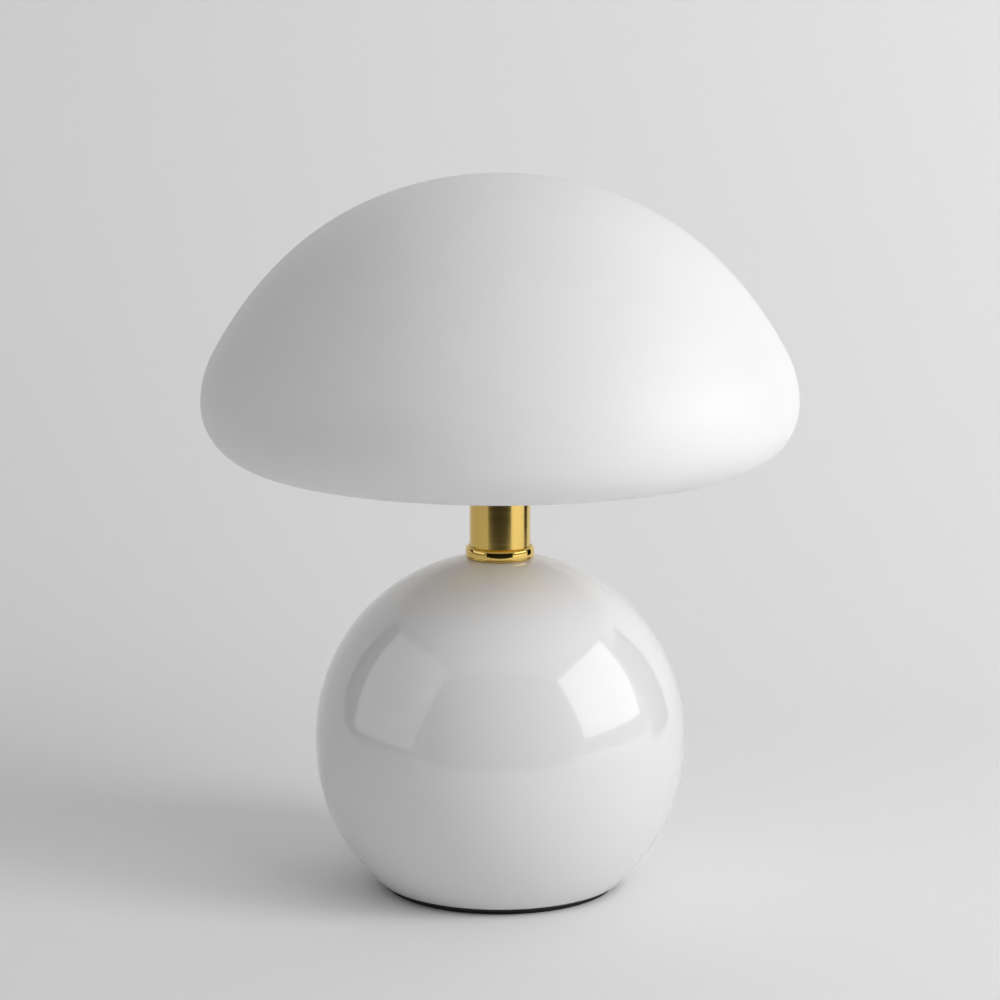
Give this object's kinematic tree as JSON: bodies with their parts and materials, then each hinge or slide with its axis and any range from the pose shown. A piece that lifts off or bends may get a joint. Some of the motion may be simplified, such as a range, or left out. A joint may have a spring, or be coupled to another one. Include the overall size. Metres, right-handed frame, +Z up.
{
  "type": "table lamp",
  "caption": "Mushroom table lamp: opal glass cap on a short brass neck over a glossy white ball base, with a screw-cap bulb inside.",
  "frame": {"origin": "centre of the foot pad's underside, on the table", "axes": "+Z up the lamp's axis, -Y the front, +Y the side that the cord gland is on"},
  "size_m": [0.247, 0.247, 0.2998],
  "materials": {
    "opal_glass": "satin opal glass, one piece, mouth blown",
    "gloss_white": "high gloss white lacquer",
    "satin_brass": "fine brushed, lacquered",
    "polished_brass": "polished, lacquered",
    "foot_foam": "closed-cell black foam pad",
    "black_steel": "black powder coat",
    "cast_iron": "as cast, oiled",
    "zinc_steel": "bright zinc plate",
    "black_nylon": "moulded nylon",
    "clear_silicone": "milky silicone",
    "holder_white": "moulded thermoset",
    "core_ceramic": "unglazed steatite",
    "nickel_shell": "nickel plated",
    "contact_bronze": "spring bronze",
    "terminal_brass": "turned, plain",
    "bulb_diffuser": "white diffuser",
    "bulb_housing": "white moulding",
    "cap_insulator": "black glass insulator",
    "block_nylon": "natural nylon",
    "lead_brown": "brown insulation",
    "lead_blue": "blue insulation",
    "lead_green": "green insulation with a yellow stripe"
  },
  "bodies": {
    "base": {"shade_gasket": "clear_silicone", "shade_carrier": "satin_brass", "carrier_washer": "zinc_steel", "carrier_nut": "zinc_steel", "holder_cap": "holder_white", "holder_barrel": "holder_white", "holder_core": "core_ceramic", "holder_shell": "nickel_shell", "holder_contact": "contact_bronze", "holder_terminals": "terminal_brass", "holder_screws": "zinc_steel", "neck_tube": "satin_brass", "neck_collar": "polished_brass", "threaded_tube": "zinc_steel", "neck_washer": "zinc_steel", "neck_nut": "zinc_steel", "ball_shell": "gloss_white", "weld_nuts": "zinc_steel", "base_plate": "black_steel", "base_screws": "zinc_steel", "ballast": "cast_iron", "ballast_bolt": "zinc_steel", "ballast_nut": "zinc_steel", "foot_pad": "foot_foam", "cord_gland": "black_nylon", "gland_nut": "black_nylon", "terminal_block": "block_nylon", "terminal_sleeves": "terminal_brass", "clamp_screws": "zinc_steel", "block_screws": "zinc_steel", "live_lead": "lead_brown", "neutral_lead": "lead_blue", "earth_lead": "lead_green", "earth_tag": "zinc_steel", "earth_screw": "zinc_steel"},
    "shade": {"glass_shade": "opal_glass"},
    "bulb": {"bulb_globe": "bulb_diffuser", "bulb_housing": "bulb_housing", "bulb_cap": "nickel_shell", "bulb_insulator": "cap_insulator", "bulb_tip": "contact_bronze"}
  },
  "joints": [
    {"name": "shade_lift", "type": "slide", "parent": "base", "child": "shade", "axis": [0, 0, 1], "range_m": [0, 0.12]},
    {"name": "bulb_unscrew", "type": "slide", "parent": "base", "child": "bulb", "axis": [0, 0, 1], "range_m": [0, 0.0141]}
  ]
}
